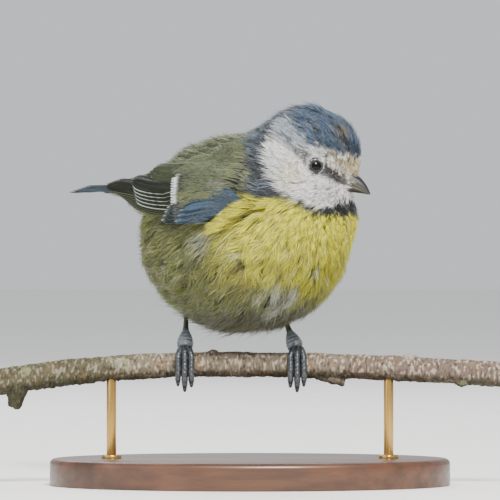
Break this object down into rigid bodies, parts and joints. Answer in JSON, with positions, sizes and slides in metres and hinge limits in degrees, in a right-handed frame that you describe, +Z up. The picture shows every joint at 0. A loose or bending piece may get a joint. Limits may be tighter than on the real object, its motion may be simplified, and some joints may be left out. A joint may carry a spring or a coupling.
{
  "type": "blue tit on a twig, display model",
  "caption": "Life-size still model of a fluffed blue tit with its head turned, gripping a cut twig that two rods hold over a flat oval base.",
  "frame": {"origin": "middle of the display base's underside", "axes": "+Z up, +X along the twig towards the bird's left foot, -Y the side that the toes and the bill point to"},
  "size_m": [0.1389, 0.0794, 0.0984],
  "materials": {
    "plumage_head": "soft feathers, white cheeks, blue crown, slate collar",
    "plumage_body": "soft loose feathers, yellow below and olive above",
    "feathers_wing": "smooth vanes, grey-blue with pale edges and one white bar",
    "feathers_tail": "smooth vanes, dark slate blue with pale edges",
    "bill_horn": "smooth dark horn with paler cutting edges",
    "eye": "wet, near black brown",
    "leg_skin": "glossy blue-grey scutes",
    "claw_horn": "dark grey horn",
    "bark": "rough grey-brown bark with pale cracks and lichen",
    "stand_wood": "stained, satin varnish",
    "stand_brass": "turned, satin"
  },
  "bodies": {
    "root": {"head": "plumage_head", "neck": "plumage_head", "torso": "plumage_body", "tail": "feathers_tail", "wing_left": "feathers_wing", "wing_right": "feathers_wing", "bill_upper": "bill_horn", "bill_lower": "bill_horn", "eye_left": "eye", "eye_right": "eye", "leg_left": "leg_skin", "leg_right": "leg_skin", "foot_left": "leg_skin", "foot_right": "leg_skin", "claw_left_inner": "claw_horn", "claw_left_middle": "claw_horn", "claw_left_outer": "claw_horn", "claw_left_hind": "claw_horn", "claw_right_inner": "claw_horn", "claw_right_middle": "claw_horn", "claw_right_outer": "claw_horn", "claw_right_hind": "claw_horn", "perch_twig": "bark", "stand_base": "stand_wood", "stand_rod_1": "stand_brass", "stand_rod_2": "stand_brass"}
  },
  "joints": []
}
